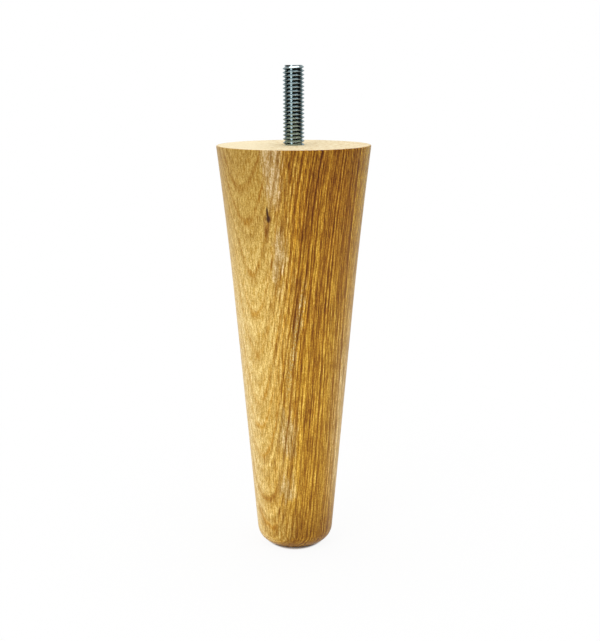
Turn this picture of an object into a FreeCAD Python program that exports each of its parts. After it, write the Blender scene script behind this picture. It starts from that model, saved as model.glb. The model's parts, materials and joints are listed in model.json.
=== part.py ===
"""Tapered wooden furniture leg with a hanger bolt in its mounting face.

The leg is turned from one piece of oak. It stands on its small rounded foot, with the
mounting face on top. A hanger bolt is driven into that face: its wood-screw end is buried
in the leg, and its machine-threaded end stands out to screw into a sofa, bed or table.

Frame: millimetres, +Z up, origin at the centre of the foot on the floor.
"""

import FreeCAD, Part
import os

import Sketcher
from FreeCAD import Vector

DRIVING_SIZES = [
    # The turned leg
    ("leg_height", 152.4, "floor to mounting face, 6 in"),
    ("top_diameter", 57.2, "mounting face, 2 1/4 in"),
    ("foot_diameter", 27.4, "where the taper would meet the floor"),
    ("top_flare", 1.1, "how far the top stands out past the straight taper"),
    ("flare_length", 62.0, "stretch below the mounting face that flares"),
    ("foot_round", 6.9, "rounding of the foot's edge"),
    ("top_edge_break", 0.4, "sanded arris of the mounting face"),
    # The hanger bolt, 5/16 in - 18
    ("stud_diameter", 7.94, "machine thread, over its crests"),
    ("stud_length", 29.0, "machine thread, above the mounting face"),
    ("stud_chamfer", 0.8, "lead-in of the free end"),
    ("neck_diameter", 7.0, "plain neck between the two threads"),
    ("neck_length", 5.0, "plain neck, below the mounting face"),
    ("screw_root_diameter", 5.6, "wood screw, at the root of its thread"),
    ("screw_length", 29.5, "wood screw, neck to tip"),
    ("screw_point_length", 9.0, "gimlet point of the wood screw"),
    # The hole that takes the bolt
    ("mouth_clearance", 0.3, "countersunk mouth, around the stud"),
    ("neck_clearance", 0.1, "hole around the plain neck"),
    ("screw_clearance", 0.05, "pilot hole around the screw's root"),
    ("pilot_spare_depth", 1.0, "pilot hole past the screw's tip"),
    ("drill_point_length", 1.7, "cone left by the drill's point"),
]
VALUE = {alias: value for alias, value, _ in DRIVING_SIZES}

doc = FreeCAD.newDocument("tapered_furniture_leg")

# The driving dimensions, one named cell each
sheet = doc.addObject("Spreadsheet::Sheet", "sizes")
for row, (alias, value, note) in enumerate(DRIVING_SIZES, start=1):
    sheet.set(f"A{row}", note)
    sheet.set(f"B{row}", str(value))
    sheet.setAlias(f"B{row}", alias)
doc.recompute()

# Radii and heights worked out from those cells
LEG_TOP = "sizes.leg_height"
TOP_RADIUS = "sizes.top_diameter / 2"
FOOT_RADIUS = "sizes.foot_diameter / 2"
FLARE_HEIGHT = "sizes.leg_height - sizes.flare_length"
FLARE_RADIUS = (
    "sizes.foot_diameter / 2 + (sizes.top_diameter / 2 - sizes.top_flare - sizes.foot_diameter / 2)"
    " * (1 - sizes.flare_length / sizes.leg_height)"
)
STUD_TOP = "sizes.leg_height + sizes.stud_length"
STUD_RADIUS = "sizes.stud_diameter / 2"
NECK_RADIUS = "sizes.neck_diameter / 2"
NECK_BOTTOM = "sizes.leg_height - sizes.neck_length"
ROOT_RADIUS = "sizes.screw_root_diameter / 2"
SCREW_TIP = f"{NECK_BOTTOM} - sizes.screw_length"
POINT_START = f"{SCREW_TIP} + sizes.screw_point_length"

MOUTH_RADIUS = f"{STUD_RADIUS} + sizes.mouth_clearance"
NECK_HOLE_RADIUS = f"{NECK_RADIUS} + sizes.neck_clearance"
MOUTH_BOTTOM = f"sizes.leg_height - ({MOUTH_RADIUS}) + ({NECK_HOLE_RADIUS})"
PILOT_RADIUS = f"{ROOT_RADIUS} + sizes.screw_clearance"
PILOT_BOTTOM = f"{SCREW_TIP} - sizes.pilot_spare_depth"
DRILL_TIP = f"{PILOT_BOTTOM} - sizes.drill_point_length"


def make_body(label):
    body = doc.addObject("PartDesign::Body", label)
    body.Label = label
    return body


def upright_sketch(body, name):
    """A sketch on the body's XZ plane: its x is the radius and its y is the height."""
    sketch = body.newObject("Sketcher::SketchObject", name)
    plane = next(feature for feature in body.Origin.OriginFeatures if feature.Role == "XZ_Plane")
    sketch.AttachmentSupport = (plane, "")
    sketch.MapMode = "FlatFace"
    return sketch


def sketch_origin():
    """The sketch's own origin, as Sketcher numbers it: geometry, then point."""
    return -1, 1


def upright_axis():
    """The sketch's own vertical axis, as Sketcher numbers it."""
    return -2


def start_of(line):
    """First end of a line or arc, as Sketcher numbers it."""
    return line, 1


def end_of(line):
    """Second end of a line or arc, as Sketcher numbers it."""
    return line, 2


def bind(sketch, constraint, name, expression):
    """Adds a dimension to a sketch and ties it to the spreadsheet."""
    index = sketch.addConstraint(constraint)
    sketch.renameConstraint(index, name)
    sketch.setExpression(f"Constraints.{name}", expression)


def set_radius(sketch, point, rough, name, expression):
    """Distance of a line's end from the axis of revolution."""
    distance = Sketcher.Constraint("DistanceX", *sketch_origin(), *point, rough.x)
    bind(sketch, distance, f"{name}_radius", expression)


def set_height(sketch, point, rough, name, expression):
    """Height of a line's end above the floor."""
    distance = Sketcher.Constraint("DistanceY", *sketch_origin(), *point, rough.y)
    bind(sketch, distance, f"{name}_height", expression)


def join(sketch, point, other):
    """Makes two ends meet."""
    sketch.addConstraint(Sketcher.Constraint("Coincident", *point, *other))


def draw_outline(sketch, corners):
    """Closed outline of straight lines through corners (name, radius, height).
    A radius of None puts the corner on the axis. The corners start at rough
    places and move to their own when the expressions are worked out."""
    count = len(corners)
    rough = [Vector(0 if radius is None else 1 + i, 100 - i, 0) for i, (_, radius, _) in enumerate(corners)]
    for i in range(count):
        sketch.addGeometry(Part.LineSegment(rough[i], rough[(i + 1) % count]), False)
    for i in range(count):
        join(sketch, end_of(i), start_of((i + 1) % count))
    for i, (name, radius, height) in enumerate(corners):
        if radius is None:
            sketch.addConstraint(Sketcher.Constraint("PointOnObject", *start_of(i), upright_axis()))
        else:
            set_radius(sketch, start_of(i), rough[i], name, radius)
        set_height(sketch, start_of(i), rough[i], name, height)
    doc.recompute()


def draw_leg_outline(sketch):
    """Half of the leg's section: foot, straight taper, tangent flare, mounting face, axis."""
    foot = Vector(VALUE["foot_diameter"] / 2, 0, 0)
    top = Vector(VALUE["top_diameter"] / 2, VALUE["leg_height"], 0)
    straight_top = top - Vector(VALUE["top_flare"], 0, 0)
    flare_share = 1 - VALUE["flare_length"] / VALUE["leg_height"]
    flare = foot + (straight_top - foot) * flare_share
    half_way = (flare + top) * 0.5 - Vector(VALUE["top_flare"] / 4, 0, 0)
    centre_top = Vector(0, VALUE["leg_height"], 0)
    centre_foot = Vector(0, 0, 0)

    foot_line, taper_line, flare_arc, face_line, axis_line = range(5)
    sketch.addGeometry(Part.LineSegment(centre_foot, foot), False)
    sketch.addGeometry(Part.LineSegment(foot, flare), False)
    sketch.addGeometry(Part.Arc(top, half_way, flare), False)
    sketch.addGeometry(Part.LineSegment(top, centre_top), False)
    sketch.addGeometry(Part.LineSegment(centre_top, centre_foot), False)

    join(sketch, start_of(foot_line), sketch_origin())
    join(sketch, end_of(foot_line), start_of(taper_line))
    sketch.addConstraint(Sketcher.Constraint("Tangent", *end_of(taper_line), *end_of(flare_arc)))
    join(sketch, start_of(flare_arc), start_of(face_line))
    join(sketch, end_of(face_line), start_of(axis_line))
    join(sketch, end_of(axis_line), start_of(foot_line))
    sketch.addConstraint(Sketcher.Constraint("Horizontal", foot_line))
    sketch.addConstraint(Sketcher.Constraint("Horizontal", face_line))
    sketch.addConstraint(Sketcher.Constraint("Vertical", axis_line))
    set_radius(sketch, end_of(foot_line), foot, "foot", FOOT_RADIUS)
    set_radius(sketch, end_of(taper_line), flare, "flare", FLARE_RADIUS)
    set_height(sketch, end_of(taper_line), flare, "flare", FLARE_HEIGHT)
    set_radius(sketch, start_of(face_line), top, "face", TOP_RADIUS)
    set_height(sketch, start_of(face_line), top, "face", LEG_TOP)
    doc.recompute()


def turn(body, kind, name, sketch):
    """A full turn of a sketch about the upright axis, added to the body or cut from it."""
    feature = body.newObject(kind, name)
    feature.Profile = sketch
    feature.ReferenceAxis = (sketch, ["V_Axis"])
    feature.Angle = 360.0
    doc.recompute()
    return feature


def outer_rim(feature, pick):
    """Name of the widest round edge at a feature's top, where pick is max, or bottom, where it is min."""
    rims = []
    for number, edge in enumerate(feature.Shape.Edges, start=1):
        if isinstance(edge.Curve, Part.Circle) and edge.isClosed():
            rims.append((round(edge.Curve.Center.z, 3), edge.Curve.Radius, f"Edge{number}"))
    level = pick(rims)[0]
    widest = max(rim for rim in rims if rim[0] == level)
    return widest[-1]


def ease(body, kind, name, base, pick, property_name, expression):
    """Rounds or chamfers the outer rim at a feature's top or bottom."""
    feature = body.newObject(kind, name)
    feature.Base = (base, [outer_rim(base, pick)])
    feature.setExpression(property_name, expression)
    doc.recompute()
    return feature


def make_turned_leg():
    """Oak leg: tapered, slightly flared to the top, with a stepped hole for the bolt."""
    body = make_body("turned_leg")
    outline = upright_sketch(body, "leg_outline")
    draw_leg_outline(outline)
    blank = turn(body, "PartDesign::Revolution", "turned_shape", outline)
    solid_volume = blank.Shape.Volume

    bore = upright_sketch(body, "bolt_hole_outline")
    draw_outline(bore, [
        ("mouth_centre", None, LEG_TOP),
        ("mouth_rim", MOUTH_RADIUS, LEG_TOP),
        ("mouth_bottom", NECK_HOLE_RADIUS, MOUTH_BOTTOM),
        ("neck_hole_bottom", NECK_HOLE_RADIUS, NECK_BOTTOM),
        ("pilot_top", PILOT_RADIUS, NECK_BOTTOM),
        ("pilot_bottom", PILOT_RADIUS, PILOT_BOTTOM),
        ("drill_tip", None, DRILL_TIP),
    ])
    hole = turn(body, "PartDesign::Groove", "bolt_hole", bore)
    if hole.Shape.Volume >= solid_volume:
        raise RuntimeError("the bolt hole cuts nothing from the leg")

    foot = ease(body, "PartDesign::Fillet", "rounded_foot", hole, min, "Radius", "sizes.foot_round")
    ease(body, "PartDesign::Fillet", "eased_top_edge", foot, max, "Radius", "sizes.top_edge_break")
    return body


def make_hanger_bolt():
    """Steel bolt: machine-thread stud above the wood, plain neck and pointed screw in it.
    Both threads are carried as plain stretches: the stud over its crests, the screw at its root."""
    body = make_body("hanger_bolt")
    outline = upright_sketch(body, "bolt_outline")
    draw_outline(outline, [
        ("stud_end", None, STUD_TOP),
        ("stud_rim", STUD_RADIUS, STUD_TOP),
        ("stud_base", STUD_RADIUS, LEG_TOP),
        ("neck_top", NECK_RADIUS, LEG_TOP),
        ("neck_bottom", NECK_RADIUS, NECK_BOTTOM),
        ("screw_top", ROOT_RADIUS, NECK_BOTTOM),
        ("point_start", ROOT_RADIUS, POINT_START),
        ("screw_tip", None, SCREW_TIP),
    ])
    shape = turn(body, "PartDesign::Revolution", "bolt_shape", outline)
    ease(body, "PartDesign::Chamfer", "stud_lead_in", shape, max, "Size", "sizes.stud_chamfer")
    return body


def check_document():
    """Stops if a feature failed or a shape is empty or unsound."""
    for item in doc.Objects:
        if "Invalid" in item.State or "Error" in item.State:
            raise RuntimeError(f"{item.Label} failed: {item.State}")
        if hasattr(item, "Shape") and item.TypeId.startswith("PartDesign"):
            if item.Shape.isNull() or not item.Shape.isValid():
                raise RuntimeError(f"{item.Label} has no sound shape")


parts = [make_turned_leg(), make_hanger_bolt()]
doc.recompute()
check_document()

os.makedirs("parts", exist_ok=True)
for part in parts:
    part.Shape.exportStep(os.path.join("parts", f"{part.Label}.step"))
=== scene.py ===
"""Looks of a tapered wooden furniture leg: a turned oak leg and a zinc-plated hanger bolt.

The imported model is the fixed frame, in metres, +Z up, with the origin at the centre of the foot.
The leg's oak is a solid wood: growth rings around a pith that lies outside the leg, so the figure
runs through from the side to the end grain.
"""

import json
import math

import bmesh
import bpy
from mathutils import Matrix, Vector


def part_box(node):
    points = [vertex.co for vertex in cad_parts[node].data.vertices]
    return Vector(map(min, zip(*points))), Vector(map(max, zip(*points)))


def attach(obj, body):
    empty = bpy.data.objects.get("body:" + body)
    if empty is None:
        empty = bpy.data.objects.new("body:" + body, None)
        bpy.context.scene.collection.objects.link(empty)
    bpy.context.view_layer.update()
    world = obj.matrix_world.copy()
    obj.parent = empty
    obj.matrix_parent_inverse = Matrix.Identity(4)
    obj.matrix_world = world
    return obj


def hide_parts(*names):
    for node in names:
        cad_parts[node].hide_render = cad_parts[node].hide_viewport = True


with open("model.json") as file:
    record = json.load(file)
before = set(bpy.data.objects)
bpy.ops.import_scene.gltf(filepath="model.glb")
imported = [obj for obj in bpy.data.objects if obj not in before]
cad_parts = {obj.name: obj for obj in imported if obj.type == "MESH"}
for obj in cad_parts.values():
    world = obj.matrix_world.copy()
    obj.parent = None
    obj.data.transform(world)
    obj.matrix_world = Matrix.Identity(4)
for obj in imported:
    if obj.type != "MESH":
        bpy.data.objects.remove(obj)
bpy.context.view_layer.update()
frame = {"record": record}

MM = 0.001
INCH = 25.4 * MM

# Leg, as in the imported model
LEG_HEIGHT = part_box("turned_leg")[1].z
TOP_RADIUS = 28.6 * MM
FOOT_RADIUS = 13.7 * MM
TOP_FLARE = 1.1 * MM
FLARE_LENGTH = 62.0 * MM
FOOT_ROUND = 6.9 * MM
TOP_EDGE_BREAK = 0.4 * MM
TAPER = (TOP_RADIUS - TOP_FLARE - FOOT_RADIUS) / LEG_HEIGHT

# Hanger bolt and its hole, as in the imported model
BOLT_LOW, BOLT_HIGH = (corner.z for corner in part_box("hanger_bolt"))
STUD_MOUNT = next(mount for mount in frame["record"]["mounts"] if mount["name"] == "stud")
STUD_RADIUS = STUD_MOUNT["dims"]["r_mm"] * MM
STUD_CHAMFER = 0.8 * MM
NECK_RADIUS = 3.5 * MM
NECK_LENGTH = 5.0 * MM
NECK_BOTTOM = LEG_HEIGHT - NECK_LENGTH
SCREW_ROOT_RADIUS = 2.8 * MM
SCREW_POINT_LENGTH = 9.0 * MM
MOUTH_CLEARANCE = 0.3 * MM
NECK_CLEARANCE = 0.1 * MM
PILOT_CLEARANCE = 0.05 * MM
PILOT_SPARE_DEPTH = 1.0 * MM
DRILL_POINT_LENGTH = 1.7 * MM
MOUTH_RADIUS = STUD_RADIUS + MOUTH_CLEARANCE
NECK_HOLE_RADIUS = NECK_RADIUS + NECK_CLEARANCE
PILOT_RADIUS = SCREW_ROOT_RADIUS + PILOT_CLEARANCE
PILOT_BOTTOM = BOLT_LOW - PILOT_SPARE_DEPTH

# Threads
STUD_PITCH = INCH / 18
STUD_THREAD_DEPTH = 0.613 * STUD_PITCH
SCREW_PITCH = INCH / 9
SCREW_CREST_RADIUS = 3.9 * MM

# Camera, from the photograph's perspective
CAMERA_PLACE = Vector((2.13, -532.83, 189.44)) * MM
CAMERA_PITCH = 0.19086
CAMERA_ROLL = -0.00283
FOCAL_LENGTH = 80.84
SENSOR_WIDTH = 36.0


class Nodes:
    """Short calls for building a material's or world's node tree."""

    def __init__(self, owner):
        owner.use_nodes = True
        self.tree = owner.node_tree
        self.tree.nodes.clear()

    def new(self, kind, settings=None, **inputs):
        """A node with its settings, and its inputs fed by name."""
        node = self.tree.nodes.new(kind)
        for name, value in (settings or {}).items():
            setattr(node, name, value)
        for name, value in inputs.items():
            self.feed(node.inputs[name.replace("_", " ")], value)
        return node

    def feed(self, socket, value):
        """Links a socket to an input, or sets the input's own value."""
        if isinstance(value, bpy.types.NodeSocket):
            self.tree.links.new(value, socket)
        else:
            socket.default_value = value

    def math(self, operation, *values):
        """One step of arithmetic."""
        node = self.new("ShaderNodeMath", {"operation": operation})
        for socket, value in zip(node.inputs, values):
            self.feed(socket, value)
        return node.outputs[0]

    def times(self, product, *values):
        """Product of two or more values."""
        for value in values:
            product = self.math("MULTIPLY", product, value)
        return product

    def vector(self, operation, *values, output="Vector"):
        """One step of vector arithmetic."""
        node = self.new("ShaderNodeVectorMath", {"operation": operation})
        for socket, value in zip(node.inputs, values):
            self.feed(socket, value)
        return node.outputs[output]

    def noise(self, where, stretch, detail=2.0, roughness=0.5, output="Fac"):
        """Noise whose cells are 1 / stretch across, per axis."""
        node = self.new("ShaderNodeTexNoise", Vector=self.vector("MULTIPLY", where, stretch),
                        Scale=1.0, Detail=detail, Roughness=roughness)
        return node.outputs[output]

    def wave(self, value, scale):
        """Noise along one value, with cells 1 / scale long."""
        node = self.new("ShaderNodeTexNoise", {"noise_dimensions": "1D"},
                        W=value, Scale=scale, Detail=1.0, Roughness=0.5)
        return node.outputs["Fac"]

    def band(self, value, low, high):
        """0 below low, 1 above high, smooth between. low may be above high."""
        node = self.new("ShaderNodeMapRange", {"interpolation_type": "SMOOTHSTEP"}, Value=value)
        self.feed(node.inputs["From Min"], low)
        self.feed(node.inputs["From Max"], high)
        return node.outputs["Result"]

    def mix(self, mask, below, above, blend="MIX"):
        """One tone where the mask is 0, the other where it is 1."""
        node = self.new("ShaderNodeMix", {"data_type": "RGBA", "blend_type": blend})
        for name, value in (("Factor_Float", mask), ("A_Color", below), ("B_Color", above)):
            socket = next(s for s in node.inputs if s.identifier == name)
            self.feed(socket, (*value, 1.0) if isinstance(value, tuple) else value)
        return next(s for s in node.outputs if s.identifier == "Result_Color")

    def tint(self, mask, tone, factor):
        """A tone, multiplied by a factor per channel where the mask is 1."""
        return self.mix(mask, tone, factor, "MULTIPLY")

    def split(self, vector):
        """The x, y and z of a vector."""
        return self.new("ShaderNodeSeparateXYZ", Vector=vector).outputs

    def join(self, x, y, z):
        """A vector from its x, y and z."""
        return self.new("ShaderNodeCombineXYZ", X=x, Y=y, Z=z).outputs[0]


def add_mesh(name, verts, faces):
    """A new piece from corners and faces."""
    mesh = bpy.data.meshes.new(name)
    mesh.from_pydata(verts, [], faces)
    mesh.update()
    piece = bpy.data.objects.new(name, mesh)
    bpy.context.scene.collection.objects.link(piece)
    return piece


def facing(degrees):
    """Direction at an angle about +Z: 0 faces the photograph's camera, 90 faces +X."""
    angle = math.radians(degrees)
    return Vector((math.sin(angle), -math.cos(angle), 0.0))


# Oak: where its rings and marks lie, in mm and degrees

# The pith runs outside the leg, leaning across it: distance and angle at mid-height, lean per mm of height
PITH_DISTANCE = 60.0
PITH_ANGLE = 138.0
PITH_LEAN = (0.035, -0.032)
RING_WIDTH = 1.15
# Broad late-wood rings, mm from the leg's axis: each arches across the pale side where the taper cuts it
BROAD_RINGS = [14.5, 15.8, 17.9, 19.2, 20.1, 21.8, 23.2, 24.6, 26.2, 27.4]
BROAD_RING_WIDTH = 0.45
# Boundary of the heartwood: mm from the leg's axis at the foot, its drift per mm of height, its raggedness
HEART_BOUNDARY = 13.3
HEART_DRIFT = 0.0675
HEART_RAGGED = 12.0

# Pale flecks of the figure: angle and height of the middle, half width in degrees, half length, lean
PALE_FLECKS = [
    (-16.5, 147.0, 9.5, 19.0, 0.0),
    (-13.0, 114.0, 7.0, 13.0, 0.19),
    (-8.5, 46.0, 15.0, 12.0, 0.2),
    (-11.0, 25.0, 15.0, 7.0, 0.2),
]
# A broken line of silver grain, in the same form
SILVER_LINE = (1.6, 84.0, 4.6, 28.0, 0.42)
# Dark mineral streaks, in the same form
DARK_STREAKS = [
    (13.5, 134.0, 4.5, 24.0, 0.40),
    (21.0, 148.0, 1.2, 7.0, 0.1),
    (38.7, 140.0, 1.0, 6.0, 0.1),
    (57.0, 145.0, 0.8, 7.0, 0.0),
    (3.0, 98.0, 4.5, 14.0, 0.25),
    (19.3, 95.0, 1.2, 9.0, 0.3),
    (31.4, 93.0, 1.4, 12.0, 0.15),
    (17.0, 58.0, 1.4, 9.0, 0.25),
    (31.0, 28.0, 1.4, 8.0, 0.2),
]
# A pin knot: its core, its tail and the stain that trails from it
PIN_KNOT = [(-20.8, 127.9, 2.3, 1.9, 0.0), (-21.3, 130.0, 1.3, 3.0, 0.0)]
KNOT_STAIN = [(-22.0, 124.5, 2.6, 7.0, 0.3)]
# How far the noise shifts the edges of the marks: degrees sideways, mm up and down
FLECK_RAGGED = 12.0
FLECK_RAGGED_HEIGHT = 24.0
SILVER_RAGGED = 5.0
KNOT_RAGGED = 2.0

# Oak: its tones. Pairs are the tone low on the leg and the tone high on it
PALE_TONES = ((0.77, 0.54, 0.16), (0.55, 0.35, 0.075))
# Painted sheen: the left edge of the oak side made paler, as if lit
PAINTED_SHEEN_TONE = (0.86, 0.66, 0.29)
GOLDEN_TONES = ((0.63, 0.365, 0.037), (0.51, 0.262, 0.020))
DEEP_HEART_TONES = ((0.60, 0.395, 0.11), (0.57, 0.355, 0.025))
DEEP_HEART_BACK_TONE = (0.55, 0.325, 0.085)
# Painted sheen: the right flank of the side made paler at low and middle heights, as if lit
PAINTED_FLANK_SHEEN_TONE = (0.74, 0.53, 0.20)
FLECK_TONES = ((0.63, 0.455, 0.18), (0.66, 0.49, 0.25))
SILVER_TONE = (0.64, 0.48, 0.19)
KNOT_TONE = (0.065, 0.021, 0.006)
# Oak: what its marks multiply the tone by
BROWN_TINT = (0.74, 0.59, 0.36)
STREAK_TINT = (0.55, 0.38, 0.22)
BAND_TINT = (0.85, 0.78, 0.64)
EARLY_WOOD_TINT = (1.30, 1.41, 1.9)
LATE_WOOD_TINT = (0.56, 0.42, 0.16)
BROAD_RING_TINT = (0.74, 0.56, 0.20)
PALE_FIBRE_TINT = (1.26, 1.34, 1.7)
DARK_FIBRE_TINT = (0.66, 0.53, 0.25)
PALE_DASH_TINT = (1.10, 1.13, 1.2)
DARK_DASH_TINT = (0.84, 0.74, 0.48)
PORE_TINT = (0.55, 0.40, 0.18)
PALE_SPECKLE_TINT = (1.15, 1.18, 1.28)
DARK_SPECKLE_TINT = (0.84, 0.76, 0.54)
TOP_TINT = (0.86, 0.83, 0.78)
# Painted shade: the front of the rounded foot darkened where little light reaches
PAINTED_FOOT_SHADE_TINT = (0.68, 0.61, 0.48)
FLECK_WEIGHT = 0.8
STREAK_WEIGHT = 0.7
PORE_WEIGHT = 0.5
# Oak: its lacquer and the relief of its pores
OAK_ROUGHNESS = 0.42
OAK_SPECULAR = 0.2
RELIEF_STRENGTH = 0.3
RELIEF_DEPTH = 0.04 * MM

# Bare end grain
END_GRAIN_TONES = ((0.80, 0.69, 0.44), (0.97, 0.87, 0.64))
END_RING_TINT = (0.86, 0.78, 0.60)
END_SPECK_TINT = (0.68, 0.52, 0.29)
END_GRAIN_ROUGHNESS = 0.75

# Zinc plating
ZINC_TONES = ((0.38, 0.46, 0.48), (0.48, 0.57, 0.59))
ZINC_EDGE_TINT = (0.5, 0.55, 0.55, 1.0)
ZINC_ROUGHNESS = 0.02
ZINC_ROUGHNESS_SPREAD = 0.06


def in_millimetres(nodes):
    """Place in the object's own frame, in mm."""
    place = nodes.vector("SCALE", nodes.new("ShaderNodeTexCoord").outputs["Object"])
    place.node.inputs["Scale"].default_value = 1 / MM
    return place


def along_the_grain(nodes, place):
    """Place in mm, sheared so that the fibres, which follow the pith, run straight up."""
    above = nodes.math("SUBTRACT", nodes.split(place)[2], LEG_HEIGHT / MM / 2)
    lean = nodes.vector("MULTIPLY", nodes.join(above, above, 0.0), (*PITH_LEAN, 0.0))
    return nodes.vector("SUBTRACT", place, lean)


def oak_rings(nodes, grain):
    """Distance outwards across the growth rings, in mm from the leg's axis, and the lines they draw."""
    drift = nodes.noise(grain, (1 / 30, 1 / 30, 1 / 90), 1.0, output="Color")
    drift = nodes.vector("MULTIPLY", nodes.vector("SUBTRACT", drift, (0.5, 0.5, 0.5)), (6.0, 6.0, 0.0))
    pith = tuple(facing(PITH_ANGLE) * PITH_DISTANCE)
    from_pith = nodes.vector("SUBTRACT", nodes.vector("ADD", grain, drift), pith)
    distance = nodes.vector("LENGTH", nodes.vector("MULTIPLY", from_pith, (1.0, 1.0, 0.0)), output="Value")
    fibre = nodes.math("SUBTRACT", nodes.noise(grain, (2.2, 2.2, 0.05), 1.0), 0.5)
    stray = nodes.math("MULTIPLY_ADD", nodes.band(nodes.split(grain)[0], 6.0, -12.0), 0.35, 0.1)
    out = nodes.math("SUBTRACT", nodes.math("MULTIPLY_ADD", fibre, stray, distance), PITH_DISTANCE)
    return out, nodes.wave(out, 2 / RING_WIDTH)


def heartwood(nodes, grain, place, out):
    """Depth in mm inside the boundary of the heartwood, and the mask of the golden heartwood."""
    axes = nodes.split(place)
    streaks = nodes.math("SUBTRACT", nodes.noise(grain, (1.0, 1.0, 0.02)), 0.5)
    boundary = nodes.math("MULTIPLY_ADD", axes[2], HEART_DRIFT, HEART_BOUNDARY)
    inside = nodes.math("MULTIPLY_ADD", streaks, HEART_RAGGED, nodes.math("SUBTRACT", boundary, out))
    return inside, nodes.times(nodes.band(inside, -5.0, 4.0), nodes.band(axes[0], -17.0, -5.0))


class Oak:
    """Where a point lies in the leg, along the grain, across the rings and in the heartwood."""

    def __init__(self, nodes):
        self.place = in_millimetres(nodes)
        self.grain = along_the_grain(nodes, self.place)
        self.out, self.lines = oak_rings(nodes, self.grain)
        self.inside, self.golden = heartwood(nodes, self.grain, self.place, self.out)


class OakSide(Oak):
    """The same on the turned side, with angle and height, ragged edges and the contrast of the lines."""

    def __init__(self, nodes):
        super().__init__(nodes)
        x, self.y, self.z = nodes.split(self.place)[:3]
        to_front = nodes.math("MULTIPLY", self.y, -1.0)
        self.angle = nodes.math("DEGREES", nodes.math("ARCTAN2", x, to_front))
        self.high = nodes.band(self.z, 70.0, 140.0)
        ragged = nodes.split(nodes.noise(self.grain, (0.8, 0.8, 0.12), 3.0, output="Color"))
        self.ragged_across = nodes.math("SUBTRACT", ragged[0], 0.5)
        self.ragged_along = nodes.math("SUBTRACT", ragged[1], 0.5)
        strength = nodes.math("MULTIPLY_ADD", nodes.band(self.z, 10.0, 90.0), 0.27, 0.55)
        self.contrast = nodes.math("MULTIPLY_ADD", self.golden, strength, 0.2)


def broad_rings(nodes, out):
    """Mask of the broad late-wood rings."""
    mask = 0.0
    for ring in BROAD_RINGS:
        away = nodes.math("ABSOLUTE", nodes.math("SUBTRACT", out, ring))
        mask = nodes.math("MAXIMUM", mask, nodes.band(away, BROAD_RING_WIDTH / 2, 0.0))
    return mask


def figure_patch(nodes, angle, height, patch):
    """Mask of one fleck or streak: 1 in its middle, fading to 0 at its edge."""
    middle, level, half_width, half_length, lean = patch
    above = nodes.math("SUBTRACT", height, level)
    aside = nodes.math("SUBTRACT", angle, middle)
    across = nodes.math("SUBTRACT", aside, nodes.math("MULTIPLY", above, lean))
    across = nodes.math("POWER", nodes.math("ABSOLUTE", nodes.math("DIVIDE", across, half_width)), 2.0)
    along = nodes.math("POWER", nodes.math("ABSOLUTE", nodes.math("DIVIDE", above, half_length)), 2.0)
    return nodes.band(nodes.math("ADD", across, along), 1.0, 0.1)


def figure_patches(nodes, angle, height, patches):
    """Mask of several patches together."""
    mask = 0.0
    for patch in patches:
        mask = nodes.math("MAXIMUM", mask, figure_patch(nodes, angle, height, patch))
    return mask


def pale_wood(nodes, wood):
    """Outer wood: paler low on the leg, and palest round to the left, where a painted sheen lightens it."""
    tone = nodes.mix(nodes.band(wood.z, 90.0, 135.0), *PALE_TONES)
    weight = nodes.math("MULTIPLY_ADD", wood.high, -0.85, 1.0)
    # Painted sheen on the left edge, weaker high on the leg
    edge = nodes.times(nodes.band(wood.angle, -30.0, -75.0), weight)
    return nodes.mix(edge, tone, PAINTED_SHEEN_TONE)


def golden_wood(nodes, wood):
    """Heartwood: golden, another tone deep inside, and paler on the right flank, where a painted sheen
    lightens it.
    """
    tone = nodes.mix(wood.high, *GOLDEN_TONES)
    deep_heart = nodes.mix(wood.high, *DEEP_HEART_TONES)
    deep_heart = nodes.mix(nodes.band(wood.y, -8.0, 8.0), deep_heart, DEEP_HEART_BACK_TONE)
    tone = nodes.mix(nodes.band(wood.inside, 18.0, 34.0), tone, deep_heart)
    # Painted sheen on the right flank
    flank = nodes.times(nodes.band(wood.angle, 35.0, 75.0), nodes.band(wood.z, 110.0, 50.0),
                        nodes.band(wood.z, 8.0, 32.0))
    return nodes.mix(flank, tone, PAINTED_FLANK_SHEEN_TONE)


def base_tone(nodes, wood):
    """Pale wood outside, golden wood inside it, browner just inside the boundary and towards the top."""
    tone = nodes.mix(wood.golden, pale_wood(nodes, wood), golden_wood(nodes, wood))
    depth = nodes.math("MULTIPLY_ADD", wood.high, -8.0, wood.inside)
    weight = nodes.math("MULTIPLY_ADD", wood.high, 0.35, 0.42)
    brown = nodes.times(nodes.band(depth, -2.0, 5.0), nodes.band(depth, 22.0, 8.0), weight)
    return nodes.tint(brown, tone, BROWN_TINT)


def add_figure(nodes, wood, tone):
    """Pale flecks, the line of silver grain and the dark streaks, with ragged edges."""
    angle = nodes.math("MULTIPLY_ADD", wood.ragged_across, FLECK_RAGGED, wood.angle)
    height = nodes.math("MULTIPLY_ADD", wood.ragged_along, FLECK_RAGGED_HEIGHT, wood.z)
    pale = figure_patches(nodes, angle, height, PALE_FLECKS)
    tone = nodes.mix(nodes.times(pale, FLECK_WEIGHT), tone, nodes.mix(wood.high, *FLECK_TONES))
    grains = nodes.band(nodes.noise(wood.grain, (2.0, 2.0, 0.9), 1.0), 0.40, 0.60)
    silver_angle = nodes.math("MULTIPLY_ADD", wood.ragged_across, SILVER_RAGGED, wood.angle)
    silver = figure_patch(nodes, silver_angle, wood.z, SILVER_LINE)
    tone = nodes.mix(nodes.times(silver, grains), tone, SILVER_TONE)
    dark = figure_patches(nodes, angle, height, DARK_STREAKS + KNOT_STAIN)
    return nodes.tint(nodes.times(dark, STREAK_WEIGHT), tone, STREAK_TINT)


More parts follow.
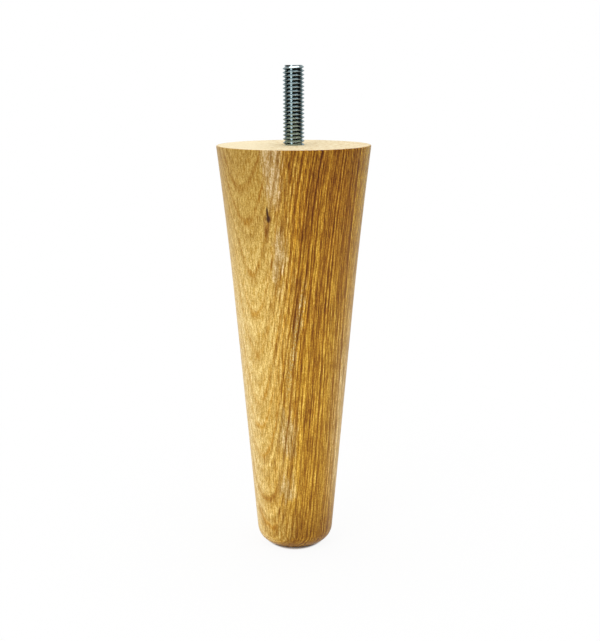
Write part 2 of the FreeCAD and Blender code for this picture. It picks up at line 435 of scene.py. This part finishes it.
def add_growth_lines(nodes, wood, tone):
    """Growth lines in broader bands, weaker in the pale wood, then the arches of the broad rings."""
    bands = nodes.times(nodes.band(nodes.wave(wood.out, 0.42), 0.44, 0.58), wood.contrast)
    tone = nodes.tint(bands, tone, BAND_TINT)
    early = nodes.times(nodes.band(wood.lines, 0.50, 0.36), wood.contrast)
    tone = nodes.tint(early, tone, EARLY_WOOD_TINT)
    late = nodes.times(nodes.band(wood.lines, 0.49, 0.63), wood.contrast)
    tone = nodes.tint(late, tone, LATE_WOOD_TINT)
    fading = nodes.band(nodes.noise(wood.place, (0.14, 0.14, 0.08)), 0.40, 0.60)
    weight = nodes.math("MULTIPLY_ADD", fading, 0.55, 0.45)
    return nodes.tint(nodes.times(broad_rings(nodes, wood.out), weight), tone, BROAD_RING_TINT)


def add_fibres(nodes, wood, tone):
    """Long fibres, paler and darker than the wood between them."""
    fibres = nodes.noise(wood.grain, (2.2, 2.2, 0.014), 1.0)
    pale = nodes.times(nodes.band(fibres, 0.51, 0.38), wood.contrast)
    tone = nodes.tint(pale, tone, PALE_FIBRE_TINT)
    dark = nodes.times(nodes.band(fibres, 0.49, 0.62), wood.contrast)
    return nodes.tint(dark, tone, DARK_FIBRE_TINT)


def add_dashes(nodes, wood, tone):
    """Short dashes along the grain: the tone, and their noise for the relief."""
    dashes = nodes.noise(wood.grain, (2.6, 2.6, 0.3), 0.0)
    tone = nodes.tint(nodes.band(dashes, 0.52, 0.36), tone, PALE_DASH_TINT)
    return nodes.tint(nodes.band(dashes, 0.48, 0.64), tone, DARK_DASH_TINT), dashes


def add_pores(nodes, wood, tone):
    """Open pores in some of the cells along the grain: the tone, and their mask for the relief."""
    where = nodes.vector("MULTIPLY", wood.grain, (2.0, 2.0, 0.25))
    cells = nodes.new("ShaderNodeTexVoronoi", Scale=1.0, Vector=where).outputs
    chosen = nodes.band(nodes.split(cells["Color"])[0], 0.5, 0.8)
    pores = nodes.times(nodes.band(cells["Distance"], 0.34, 0.18), chosen)
    return nodes.tint(nodes.times(pores, PORE_WEIGHT), tone, PORE_TINT), pores


def add_speckle(nodes, wood, tone):
    """Fine speckle, paler and darker."""
    speckle = nodes.noise(wood.place, (2.6, 2.6, 1.8), 0.0)
    tone = nodes.tint(nodes.band(speckle, 0.50, 0.36), tone, PALE_SPECKLE_TINT)
    return nodes.tint(nodes.band(speckle, 0.50, 0.64), tone, DARK_SPECKLE_TINT)


def darken_ends(nodes, wood, tone):
    """Darker towards the top edge, and painted shade on the front of the rounded foot."""
    tone = nodes.tint(nodes.band(wood.z, 134.0, 152.0), tone, TOP_TINT)
    # Painted shade on the front of the rounded foot, where little light reaches
    foot = nodes.times(nodes.band(wood.z, 26.0, 5.0), nodes.band(wood.angle, -40.0, -8.0))
    return nodes.tint(foot, tone, PAINTED_FOOT_SHADE_TINT)


def add_knot(nodes, wood, tone):
    """The pin knot: the tone, and its mask for the relief."""
    wobble = nodes.times(wood.ragged_across, KNOT_RAGGED)
    knot = figure_patches(nodes, nodes.math("ADD", wood.angle, wobble), wood.z, PIN_KNOT)
    return nodes.mix(knot, tone, KNOT_TONE), knot


def make_oak():
    """Clear-lacquered oak of the turned side."""
    material = bpy.data.materials.new("lacquered_oak")
    nodes = Nodes(material)
    wood = OakSide(nodes)
    tone = base_tone(nodes, wood)
    tone = add_figure(nodes, wood, tone)
    tone = add_growth_lines(nodes, wood, tone)
    tone = add_fibres(nodes, wood, tone)
    tone, dashes = add_dashes(nodes, wood, tone)
    tone, pores = add_pores(nodes, wood, tone)
    tone = add_speckle(nodes, wood, tone)
    tone = darken_ends(nodes, wood, tone)
    tone, knot = add_knot(nodes, wood, tone)
    relief = nodes.math("SUBTRACT", dashes, nodes.math("ADD", pores, knot))
    bump = nodes.new("ShaderNodeBump", Strength=RELIEF_STRENGTH, Distance=RELIEF_DEPTH, Height=relief)
    shader = nodes.new("ShaderNodeBsdfPrincipled", Base_Color=tone, Roughness=OAK_ROUGHNESS,
                       Specular_IOR_Level=OAK_SPECULAR, Normal=bump.outputs[0])
    nodes.new("ShaderNodeOutputMaterial", Surface=shader.outputs[0])
    return material


def make_end_grain():
    """Bare sanded end grain of the mounting face and the underside of the foot."""
    material = bpy.data.materials.new("bare_end_grain")
    nodes = Nodes(material)
    wood = Oak(nodes)
    tone = nodes.mix(nodes.noise(wood.place, (0.6, 0.6, 0.6), 3.0), *END_GRAIN_TONES)
    tone = nodes.tint(nodes.band(wood.lines, 0.46, 0.66), tone, END_RING_TINT)
    specks = nodes.band(nodes.noise(wood.place, (0.55, 0.55, 0.55), 5.0, 0.7), 0.40, 0.74)
    specks = nodes.times(specks, nodes.math("MULTIPLY_ADD", wood.golden, 0.8, 0.2))
    tone = nodes.tint(specks, tone, END_SPECK_TINT)
    shader = nodes.new("ShaderNodeBsdfPrincipled", Base_Color=tone, Roughness=END_GRAIN_ROUGHNESS)
    nodes.new("ShaderNodeOutputMaterial", Surface=shader.outputs[0])
    return material


def make_zinc():
    """Bright zinc plating on rolled steel."""
    material = bpy.data.materials.new("zinc_plating")
    nodes = Nodes(material)
    place = in_millimetres(nodes)
    tone = nodes.mix(nodes.noise(place, (0.5, 0.5, 0.5), 3.0), *ZINC_TONES)
    uneven = nodes.noise(place, (1.5, 1.5, 1.5), 3.0)
    rough = nodes.math("MULTIPLY_ADD", uneven, ZINC_ROUGHNESS_SPREAD, ZINC_ROUGHNESS)
    shader = nodes.new("ShaderNodeBsdfPrincipled", Base_Color=tone, Metallic=1.0, Roughness=rough,
                       Specular_Tint=ZINC_EDGE_TINT)
    nodes.new("ShaderNodeOutputMaterial", Surface=shader.outputs[0])
    return material


# Turned leg

AROUND = 288
FOOT_STEPS = 14
SIDE_ROWS = 110
RIM_STEPS = 5
SOLE_RINGS = 4
FACE_RINGS = 12
LEG_SHARP_ANGLE = math.radians(40)


def arc(centre_r, centre_z, radius, first, last, steps):
    """Points of an arc in the (radius, height) plane, angles in radians from outwards."""
    angles = [first + (last - first) * i / steps for i in range(steps + 1)]
    return [(centre_r + radius * math.cos(a), centre_z + radius * math.sin(a)) for a in angles]


def side_radius(height):
    """Radius of the leg's side before its edges are rounded: a straight taper, then a flare."""
    above = max(0.0, height - (LEG_HEIGHT - FLARE_LENGTH)) / FLARE_LENGTH
    return FOOT_RADIUS + TAPER * height + TOP_FLARE * above ** 2


def foot_rounding():
    """Arc from the sole to the side."""
    centre = FOOT_RADIUS + TAPER * FOOT_ROUND - FOOT_ROUND * math.hypot(1, TAPER)
    return arc(centre, FOOT_ROUND, FOOT_ROUND, -math.pi / 2, -math.atan(TAPER), FOOT_STEPS)


def top_rounding():
    """Arc from the side to the mounting face."""
    lean = TAPER + 2 * TOP_FLARE / FLARE_LENGTH
    centre = TOP_RADIUS - lean * TOP_EDGE_BREAK - TOP_EDGE_BREAK * math.hypot(1, lean)
    level = LEG_HEIGHT - TOP_EDGE_BREAK
    return arc(centre, level, TOP_EDGE_BREAK, -math.atan(lean), math.pi / 2, RIM_STEPS)


def leg_outline():
    """Stretches of the leg's section, foot centre to bottom of the hole: (points, is_end_grain)."""
    foot = foot_rounding()
    rim = top_rounding()
    low, high = foot[-1][1], rim[0][1]
    heights = [low + (high - low) * i / SIDE_ROWS for i in range(1, SIDE_ROWS)]
    side = foot + [(side_radius(height), height) for height in heights] + rim
    sole = [(foot[0][0] * i / SOLE_RINGS, 0.0) for i in range(SOLE_RINGS + 1)]
    rim_radius = rim[-1][0]
    inwards = MOUTH_RADIUS - rim_radius
    face = [(rim_radius + inwards * i / FACE_RINGS, LEG_HEIGHT) for i in range(FACE_RINGS + 1)]
    hole = [
        (MOUTH_RADIUS, LEG_HEIGHT),
        (NECK_HOLE_RADIUS, LEG_HEIGHT - (MOUTH_RADIUS - NECK_HOLE_RADIUS)),
        (NECK_HOLE_RADIUS, NECK_BOTTOM),
        (PILOT_RADIUS, NECK_BOTTOM),
        (PILOT_RADIUS, PILOT_BOTTOM),
        (0.0, PILOT_BOTTOM - DRILL_POINT_LENGTH),
    ]
    return [(sole, True), (side, False), (face, True), (hole, True)]


def add_ring(verts, radius, height):
    """Adds a ring of corners about +Z, or one corner on the axis, and lists it around the leg."""
    start = len(verts)
    if radius == 0.0:
        verts.append((0.0, 0.0, height))
        return [start] * AROUND
    for k in range(AROUND):
        angle = 2 * math.pi * k / AROUND
        verts.append((radius * math.sin(angle), -radius * math.cos(angle), height))
    return list(range(start, start + AROUND))


def faces_between(below, above):
    """Faces between two rings, triangles where one of them is a corner on the axis."""
    faces = []
    for k in range(AROUND):
        n = (k + 1) % AROUND
        corners = [below[k], below[n], above[n], above[k]]
        faces.append(list(dict.fromkeys(corners)))
    return faces


def make_leg():
    """The turned leg with its hole, lacquered on the side and bare on the end grain."""
    verts, faces, bare = [], [], []
    last = None
    for points, is_end in leg_outline():
        for radius, height in points[1:] if last else points:
            ring = add_ring(verts, radius, height)
            if last:
                between = faces_between(last, ring)
                faces.extend(between)
                bare.extend([is_end] * len(between))
            last = ring
    leg = add_mesh("turned_oak_leg", verts, faces)
    leg.data.materials.append(make_oak())
    leg.data.materials.append(make_end_grain())
    for polygon, is_end in zip(leg.data.polygons, bare):
        polygon.material_index = 1 if is_end else 0
        polygon.use_smooth = True
    leg.data.set_sharp_from_angle(angle=LEG_SHARP_ANGLE)
    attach(leg, "root")
    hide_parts("turned_leg")


# Hanger bolt

THREAD_SEGMENTS = 72
NECK_MIDDLE = LEG_HEIGHT - NECK_LENGTH / 2
PLAIN_NECK = 1.0 * MM
SCREW_TIP_CUT = 0.3 * MM
WELD_DISTANCE = 0.001 * MM
BOLT_SHARP_ANGLE = math.radians(25)
# Run-out of each thread into the neck, as a share of its pitch
RUN_OUT = 0.5
# Depth of the screw's thread at the very tip, as a share of its full depth
TIP_DEPTH = 0.1
# Section of each thread over one pitch: share of the pitch, share of the thread's depth
STUD_THREAD = [(0.0, 1.0), (0.039, 0.989), (0.073, 0.957), (0.098, 0.908), (0.42, 0.06), (0.46, 0.0),
               (0.54, 0.0), (0.58, 0.06), (0.902, 0.908), (0.927, 0.957), (0.961, 0.989)]
SCREW_THREAD = [(0.0, 1.0), (0.05, 1.0), (0.09, 0.88), (0.24, 0.05), (0.30, 0.0), (0.50, 0.0),
                (0.70, 0.0), (0.76, 0.05), (0.91, 0.88), (0.95, 1.0)]


def ease(value, low, high):
    """0 at low, 1 at high, smooth between."""
    share = min(1.0, max(0.0, (value - low) / (high - low)))
    return share * share * (3 - 2 * share)


def stud_radius(height, depth_share):
    """Radius of the machine thread, with its lead-in at the free end and its run-out at the wood."""
    root = STUD_RADIUS - STUD_THREAD_DEPTH
    thread = root + STUD_THREAD_DEPTH * depth_share
    lead_in = STUD_RADIUS - max(0.0, height - (BOLT_HIGH - STUD_CHAMFER))
    run_out = ease(height, LEG_HEIGHT - RUN_OUT * STUD_PITCH, LEG_HEIGHT)
    return min(lead_in, NECK_RADIUS + (thread - NECK_RADIUS) * run_out)


def screw_radius(height, depth_share):
    """Radius of the wood-screw thread, tapering to its gimlet point."""
    above_tip = max(0.0, height - BOLT_LOW)
    root = SCREW_ROOT_RADIUS * min(1.0, above_tip / SCREW_POINT_LENGTH)
    full = (SCREW_CREST_RADIUS - SCREW_ROOT_RADIUS) * min(1.0, TIP_DEPTH + above_tip / SCREW_POINT_LENGTH)
    into_neck = ease(height, NECK_BOTTOM - RUN_OUT * SCREW_PITCH, NECK_BOTTOM)
    thread = root + full * depth_share
    return thread + (NECK_RADIUS - thread) * into_neck


def thread_rows(skin, low, turns, pitch, section, radius_at):
    """Corners of a right-hand thread about +Z: a row per step of the section, each one turn of the helix."""
    rows = []
    for row in range(turns * len(section) + 1):
        turn, step = divmod(row, len(section))
        share, depth_share = section[step]
        line = []
        for k in range(THREAD_SEGMENTS):
            angle = 2 * math.pi * k / THREAD_SEGMENTS
            height = low + pitch * (turn - 1 + share + k / THREAD_SEGMENTS - 0.5)
            radius = radius_at(height, depth_share)
            line.append(skin.verts.new((radius * math.cos(angle), radius * math.sin(angle), height)))
        rows.append(line)
    return rows


def skin_rows(skin, rows, per_pitch):
    """Faces between the rows, where the end of each turn meets the start of the next."""
    for row in range(len(rows) - 1):
        for k in range(THREAD_SEGMENTS):
            last = k == THREAD_SEGMENTS - 1
            if last and row + 1 + per_pitch >= len(rows):
                continue
            right = rows[row + per_pitch][0] if last else rows[row][k + 1]
            right_above = rows[row + 1 + per_pitch][0] if last else rows[row + 1][k + 1]
            skin.faces.new((rows[row][k], right, right_above, rows[row + 1][k]))


def thread_mesh(low, high, pitch, section, radius_at):
    """Open skin of a thread whose rows follow the helix, cut flat at low and high."""
    turns = math.ceil((high - low) / pitch) + 2
    skin = bmesh.new()
    rows = thread_rows(skin, low, turns, pitch, section, radius_at)
    skin_rows(skin, rows, len(section))
    for level, way in ((low, -1), (high, 1)):
        geometry = skin.verts[:] + skin.edges[:] + skin.faces[:]
        bmesh.ops.bisect_plane(skin, geom=geometry, plane_co=(0, 0, level), plane_no=(0, 0, way),
                               clear_outer=True)
    loose = [vert for vert in skin.verts if not vert.link_faces]
    bmesh.ops.delete(skin, geom=loose, context="VERTS")
    bmesh.ops.remove_doubles(skin, verts=skin.verts, dist=WELD_DISTANCE)
    return skin


def bolt_mesh():
    """Stud and screw, joined by the plain neck and closed at both ends."""
    stud_low = NECK_MIDDLE + PLAIN_NECK / 2
    screw_high = NECK_MIDDLE - PLAIN_NECK / 2
    stud = thread_mesh(stud_low, BOLT_HIGH, STUD_PITCH, STUD_THREAD, stud_radius)
    screw = thread_mesh(BOLT_LOW + SCREW_TIP_CUT, screw_high, SCREW_PITCH, SCREW_THREAD, screw_radius)
    mesh = bpy.data.meshes.new("hanger_bolt_threads")
    screw.to_mesh(mesh)
    screw.free()
    stud.from_mesh(mesh)
    rims = [edge for edge in stud.edges if edge.is_boundary]
    neck = [edge for edge in rims if all(abs(v.co.z - NECK_MIDDLE) < PLAIN_NECK for v in edge.verts)]
    bmesh.ops.bridge_loops(stud, edges=neck)
    ends = [edge for edge in stud.edges if edge.is_boundary]
    bmesh.ops.holes_fill(stud, edges=ends)
    bmesh.ops.recalc_face_normals(stud, faces=stud.faces)
    stud.to_mesh(mesh)
    stud.free()
    return mesh


def make_bolt():
    """The zinc-plated hanger bolt with both its threads."""
    mesh = bolt_mesh()
    bolt = bpy.data.objects.new("threaded_hanger_bolt", mesh)
    bpy.context.scene.collection.objects.link(bolt)
    mesh.materials.append(make_zinc())
    for polygon in mesh.polygons:
        polygon.use_smooth = True
    mesh.set_sharp_from_angle(angle=BOLT_SHARP_ANGLE)
    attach(bolt, "root")
    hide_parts("hanger_bolt")


# Stage, in metres and watts

FLOOR_HALF_WIDTH = 0.45
FLOOR_FRONT = -0.4
FLOOR_REAR = 3.0
FLOOR_COLOUR = (0.85, 0.85, 0.85, 1.0)
# The floor keeps the leg's shadow in a narrow oval at the contact, and a faint share of it further out
CONTACT_CENTRE = (0.0, 0.009, 0.0)
CONTACT_STRETCH = (1.72, 1.0, 1.0)
CONTACT_EDGE = (0.0192, 0.0212)
FAINT_SHADOW = 0.08
FAINT_SHADOW_EDGE = (0.03, 0.30)
# Strength of the world: as light, and the dark room that reflections show
AMBIENT_STRENGTH = 0.75
DARK_ROOM = 0.02
# Lamps: name, place, target, width, height, power
KEY_PLACE = facing(-32.0) * 1.2 + Vector((0, 0, 0.68))
LAMPS = [
    ("key", KEY_PLACE, (0, 0, 0.12), 0.5, 1.3, 4.5),
    ("overhead", (0.0, 0.1, 1.3), (0, 0, 0.1), 0.9, 0.9, 6.0),
]


def make_white_floor():
    """White to the camera and in reflections, plain pale where it keeps the leg's shadow."""
    material = bpy.data.materials.new("white_floor")
    nodes = Nodes(material)
    pale = nodes.new("ShaderNodeBsdfDiffuse", Color=FLOOR_COLOUR)
    white = nodes.new("ShaderNodeEmission", Strength=1.0)
    path = nodes.new("ShaderNodeLightPath").outputs
    seen = nodes.math("MAXIMUM", path["Is Glossy Ray"], path["Is Transmission Ray"])
    seen = nodes.math("MAXIMUM", seen, path["Is Camera Ray"])
    place = nodes.vector("MULTIPLY", nodes.new("ShaderNodeTexCoord").outputs["Object"], CONTACT_STRETCH)
    away = nodes.vector("DISTANCE", place, CONTACT_CENTRE, output="Value")
    faint = nodes.times(nodes.band(away, *FAINT_SHADOW_EDGE), FAINT_SHADOW)
    clear = nodes.math("MULTIPLY_ADD", nodes.band(away, *CONTACT_EDGE), 1 - FAINT_SHADOW, faint)
    shader = nodes.new("ShaderNodeMixShader", Fac=nodes.times(seen, clear))
    nodes.feed(shader.inputs[1], pale.outputs[0])
    nodes.feed(shader.inputs[2], white.outputs[0])
    nodes.new("ShaderNodeOutputMaterial", Surface=shader.outputs[0])
    return material


def make_floor():
    """Flat sweep under and behind the leg."""
    left, right = -FLOOR_HALF_WIDTH, FLOOR_HALF_WIDTH
    front, rear = FLOOR_FRONT, FLOOR_REAR
    corners = [(left, front, 0), (right, front, 0), (right, rear, 0), (left, rear, 0)]
    floor = add_mesh("floor", corners, [(0, 1, 2, 3)])
    floor.data.materials.append(make_white_floor())


def make_world():
    """White backdrop that falls off to a dark room on the photographer's side, as reflections show it."""
    world = bpy.data.worlds.new("studio")
    bpy.context.scene.world = world
    nodes = Nodes(world)
    path = nodes.new("ShaderNodeLightPath").outputs
    towards = nodes.split(nodes.new("ShaderNodeTexCoord").outputs["Generated"])
    tent = nodes.math("MAXIMUM", nodes.band(towards[1], 0.1, 1.0), nodes.band(towards[2], 0.55, 0.95))
    backdrop = nodes.math("MULTIPLY_ADD", tent, 1 - DARK_ROOM, DARK_ROOM)
    shown = nodes.math("MAXIMUM", path["Is Glossy Ray"], path["Is Transmission Ray"])
    lit = nodes.new("ShaderNodeMix", Factor=shown, A=AMBIENT_STRENGTH, B=backdrop).outputs["Result"]
    strength = nodes.math("MAXIMUM", lit, path["Is Camera Ray"])
    back = nodes.new("ShaderNodeBackground", Color=(1, 1, 1, 1), Strength=strength)
    nodes.new("ShaderNodeOutputWorld", Surface=back.outputs[0])


def add_area_light(name, place, target, width, height, power):
    """A rectangular lamp, aimed at a target."""
    data = bpy.data.lights.new(name, "AREA")
    data.shape = "RECTANGLE"
    data.size = width
    data.size_y = height
    data.energy = power
    light = bpy.data.objects.new(name, data)
    light.location = place
    light.rotation_euler = (Vector(target) - Vector(place)).to_track_quat("-Z", "Y").to_euler()
    bpy.context.scene.collection.objects.link(light)


def make_camera():
    """The photograph's camera."""
    data = bpy.data.cameras.new("camera")
    data.lens = FOCAL_LENGTH
    data.sensor_width = SENSOR_WIDTH
    camera = bpy.data.objects.new("camera", data)
    pitched = Matrix.Translation(CAMERA_PLACE) @ Matrix.Rotation(math.pi / 2 - CAMERA_PITCH, 4, "X")
    camera.matrix_world = pitched @ Matrix.Rotation(CAMERA_ROLL, 4, "Z")
    bpy.context.scene.collection.objects.link(camera)
    bpy.context.scene.camera = camera


make_leg()
make_bolt()
make_floor()
make_world()
for lamp in LAMPS:
    add_area_light(*lamp)
make_camera()
bpy.context.scene.view_settings.view_transform = "Standard"
